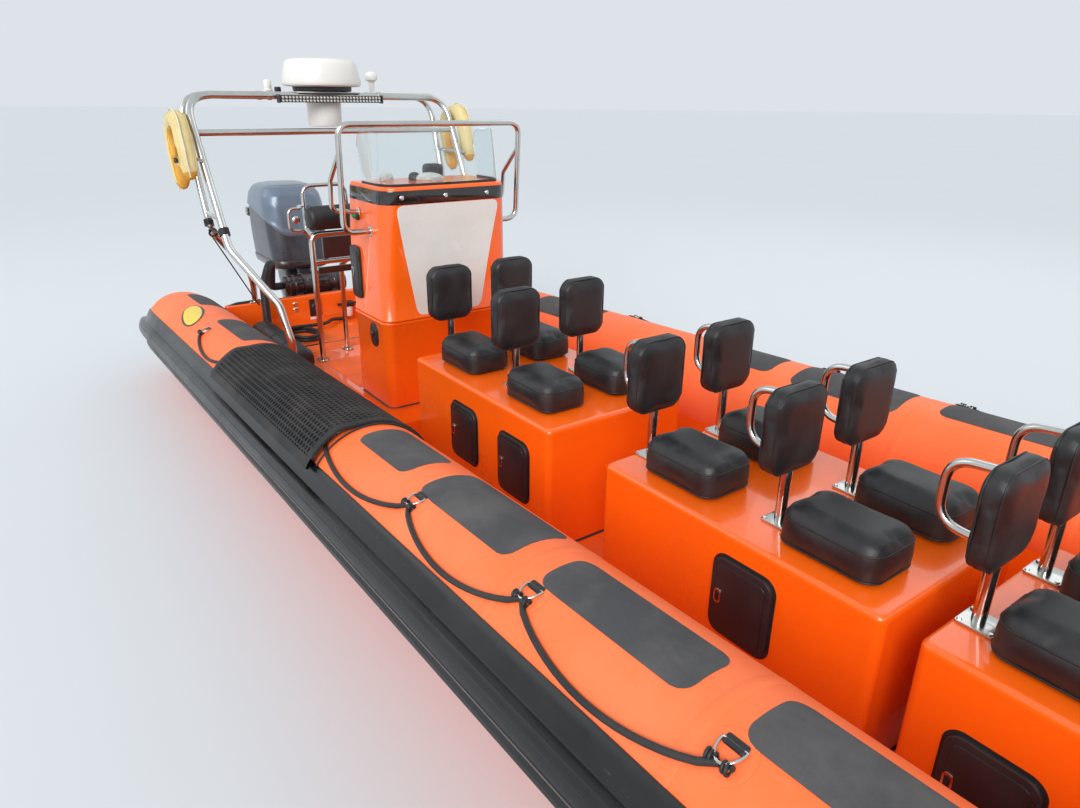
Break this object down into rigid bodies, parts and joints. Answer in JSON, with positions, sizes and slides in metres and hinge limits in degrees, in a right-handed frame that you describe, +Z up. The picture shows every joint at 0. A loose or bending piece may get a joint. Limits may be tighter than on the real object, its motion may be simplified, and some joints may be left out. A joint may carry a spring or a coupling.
{
  "type": "rigid inflatable boat",
  "caption": "Rigid inflatable passenger boat with inflated side tubes, jockey seats on pods, helm console, radar arch and an outboard engine that tilts and steers.",
  "frame": {"origin": "on the waterline, amidships on the centreline", "axes": "+X towards the bow, +Y to port, +Z up"},
  "size_m": [8.9129, 2.7418, 3.2033],
  "materials": {
    "orange_tube": "satin coated fabric",
    "orange_gelcoat": "gloss gelcoat on moulded fibreglass",
    "black_rubber": "matt moulded rubber",
    "stainless": "polished tube",
    "white_moulding": "satin moulding",
    "black_moulding": "satin moulding",
    "black_vinyl": "grained vinyl upholstery",
    "buoy_cream": "faded moulded foam cover",
    "engine_grey": "satin paint",
    "clear_glass": "clear polished sheet"
  },
  "bodies": {
    "boat": {"hull": "orange_gelcoat", "starboard_tube": "orange_tube", "port_tube": "orange_tube", "starboard_rub_strake": "black_rubber", "port_rub_strake": "black_rubber", "starboard_lifeline": "black_rubber", "port_lifeline": "black_rubber", "boarding_mat": "black_rubber", "console_lower": "orange_gelcoat", "console_upper": "orange_gelcoat", "windscreen": "clear_glass", "screen_frame": "stainless", "engine_control": "black_moulding", "helm_post_frame": "stainless", "helm_bolster": "black_vinyl", "helm_post_panel": "black_moulding", "arch_front_hoop": "stainless", "arch_rear_hoop": "stainless", "arch_plate": "white_moulding", "radome": "white_moulding", "arch_pedestal": "white_moulding", "light_bar": "black_moulding", "gps_antenna": "white_moulding", "starboard_lifebuoy": "buoy_cream", "port_lifebuoy": "buoy_cream", "clamp_bracket": "black_moulding", "rigging_hose": "black_rubber", "stowage_bag": "black_vinyl", "aft_pod": "orange_gelcoat", "middle_pod": "orange_gelcoat", "forward_pod": "orange_gelcoat", "seat_1_starboard": "black_vinyl", "seat_1_port": "black_vinyl", "seat_2_starboard": "black_vinyl", "seat_2_port": "black_vinyl", "seat_3_starboard": "black_vinyl", "seat_3_port": "black_vinyl", "seat_4_starboard": "black_vinyl", "seat_4_port": "black_vinyl", "seat_5_starboard": "black_vinyl", "seat_5_port": "black_vinyl"},
    "tilt_unit": {"swivel_bracket": "black_moulding"},
    "engine": {"engine_leg": "engine_grey", "engine_cowl": "engine_grey", "powerhead_block": "black_moulding"},
    "propeller_body": {"propeller": "stainless"},
    "wheel": {"helm_wheel": "black_moulding"},
    "aft_pod_door_1_body": {"aft_pod_door_1": "black_moulding"},
    "aft_pod_door_2_body": {"aft_pod_door_2": "black_moulding"},
    "middle_pod_door_1_body": {"middle_pod_door_1": "black_moulding"},
    "forward_pod_door_1_body": {"forward_pod_door_1": "black_moulding"},
    "console_door_body": {"console_door": "black_moulding"}
  },
  "joints": [
    {"name": "outboard_tilt", "type": "hinge", "parent": "boat", "child": "tilt_unit", "pos_m": [-3.8, 0, 0.62], "axis": [0, 1, 0], "range_deg": [0, 65]},
    {"name": "outboard_steer", "type": "hinge", "parent": "tilt_unit", "child": "engine", "pos_m": [-4.01, 0, 0.4], "axis": [0, 0, 1], "range_deg": [-30, 30]},
    {"name": "propeller_spin", "type": "hinge", "parent": "engine", "child": "propeller_body", "pos_m": [-4.39, 0, -0.64], "axis": [1, 0, 0], "continuous": true},
    {"name": "wheel_turn", "type": "hinge", "parent": "boat", "child": "wheel", "pos_m": [-1.99, -0.185, 1.4], "axis": [0.9397, 0, -0.342], "range_deg": [-725, 725]},
    {"name": "aft_pod_door_1_hinge", "type": "hinge", "parent": "boat", "child": "aft_pod_door_1_body", "pos_m": [-0.5175, -0.4143, 0.505], "axis": [0, 0, 1], "range_deg": [0, 100]},
    {"name": "aft_pod_door_2_hinge", "type": "hinge", "parent": "boat", "child": "aft_pod_door_2_body", "pos_m": [-0.0775, -0.4143, 0.495], "axis": [0, 0, 1], "range_deg": [0, 100]},
    {"name": "middle_pod_door_1_hinge", "type": "hinge", "parent": "boat", "child": "middle_pod_door_1_body", "pos_m": [1.2525, -0.4143, 0.535], "axis": [0, 0, 1], "range_deg": [0, 100]},
    {"name": "forward_pod_door_1_hinge", "type": "hinge", "parent": "boat", "child": "forward_pod_door_1_body", "pos_m": [2.0525, -0.4143, 0.43], "axis": [0, 0, 1], "range_deg": [0, 70]},
    {"name": "console_door_hinge", "type": "hinge", "parent": "boat", "child": "console_door_body", "pos_m": [-1.75, -0.4293, 1.122], "axis": [0, 0, 1], "range_deg": [0, 100]}
  ],
  "couplings": [
    {"joint": "wheel_turn", "follows": "outboard_steer", "ratio": 24}
  ]
}
